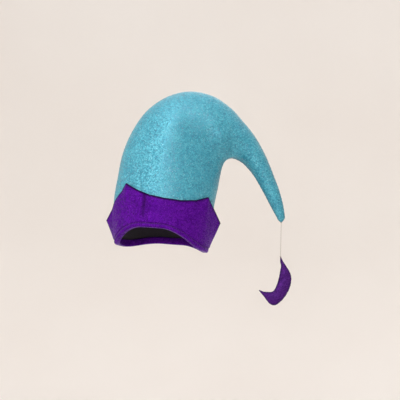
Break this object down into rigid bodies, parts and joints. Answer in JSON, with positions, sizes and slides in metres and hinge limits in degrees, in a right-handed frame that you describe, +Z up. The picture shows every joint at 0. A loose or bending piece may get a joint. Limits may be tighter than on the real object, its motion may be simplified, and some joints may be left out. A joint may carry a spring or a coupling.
{
  "type": "jester hat",
  "caption": "Worn foam-backed glitter hat: tall dome leaning into one curled horn, turned-up peaked cuff, and a crescent hanging by a thread from the tip.",
  "frame": {"origin": "centre of the head opening, level with the middle of the hem's two side corners", "axes": "+Z up along the standing crown, -Y towards the front that the wearer faces, +X to the side that the horn curls over to"},
  "size_m": [0.4076, 0.1916, 0.4678],
  "materials": {
    "turquoise_glitter": "fine glitter cloth on foam",
    "purple_glitter": "fine glitter cloth on foam",
    "violet_cloth": "soft glitter cloth over padding",
    "pale_thread": "plain sewing thread"
  },
  "bodies": {
    "hat": {"crown": "turquoise_glitter", "cuff": "purple_glitter"},
    "drop": {"thread": "pale_thread", "crescent": "violet_cloth"}
  },
  "joints": [
    {"name": "drop_swing", "type": "hinge", "parent": "hat", "child": "drop", "pos_m": [0.25871, 0, 0.06682], "axis": [0, -1, 0], "range_deg": [-40, 80]}
  ]
}
